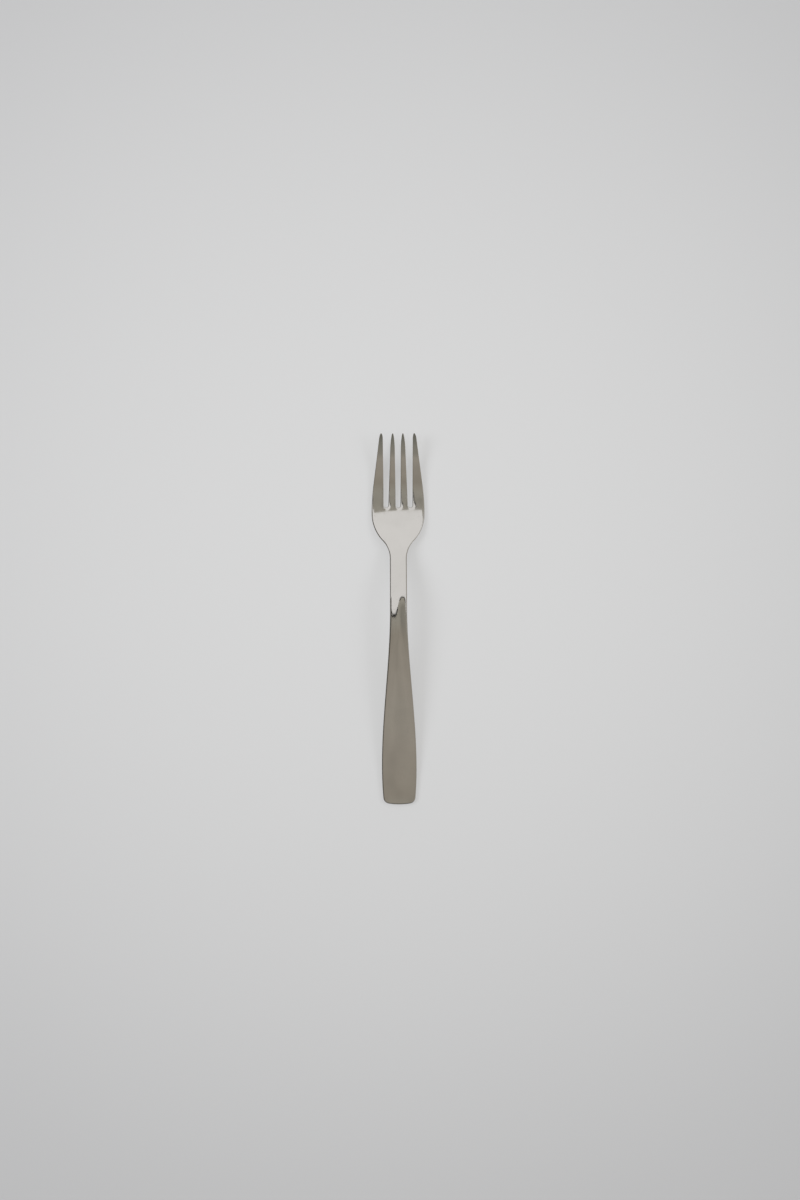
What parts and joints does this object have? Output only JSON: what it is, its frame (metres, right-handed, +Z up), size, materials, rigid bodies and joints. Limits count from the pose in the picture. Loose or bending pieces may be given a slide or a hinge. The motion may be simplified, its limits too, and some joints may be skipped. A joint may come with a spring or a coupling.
{
  "type": "pastry fork",
  "caption": "Pastry fork pressed from polished stainless steel, with even tapered tines, rounded shoulders, a slim arched neck and a flared handle.",
  "frame": {"origin": "on the table that the fork lies on, under the middle of its length and width", "axes": "+Y along the fork towards the points of the tines, +X to the right seen from above, +Z up out of the hollow side"},
  "size_m": [0.0216, 0.15, 0.0114],
  "materials": {
    "steel": "polished stainless steel with fine polishing lines along the length"
  },
  "bodies": {
    "root": {"handle": "steel", "neck": "steel", "bowl": "steel", "left_outer_tine": "steel", "left_inner_tine": "steel", "right_inner_tine": "steel", "right_outer_tine": "steel"}
  },
  "joints": []
}
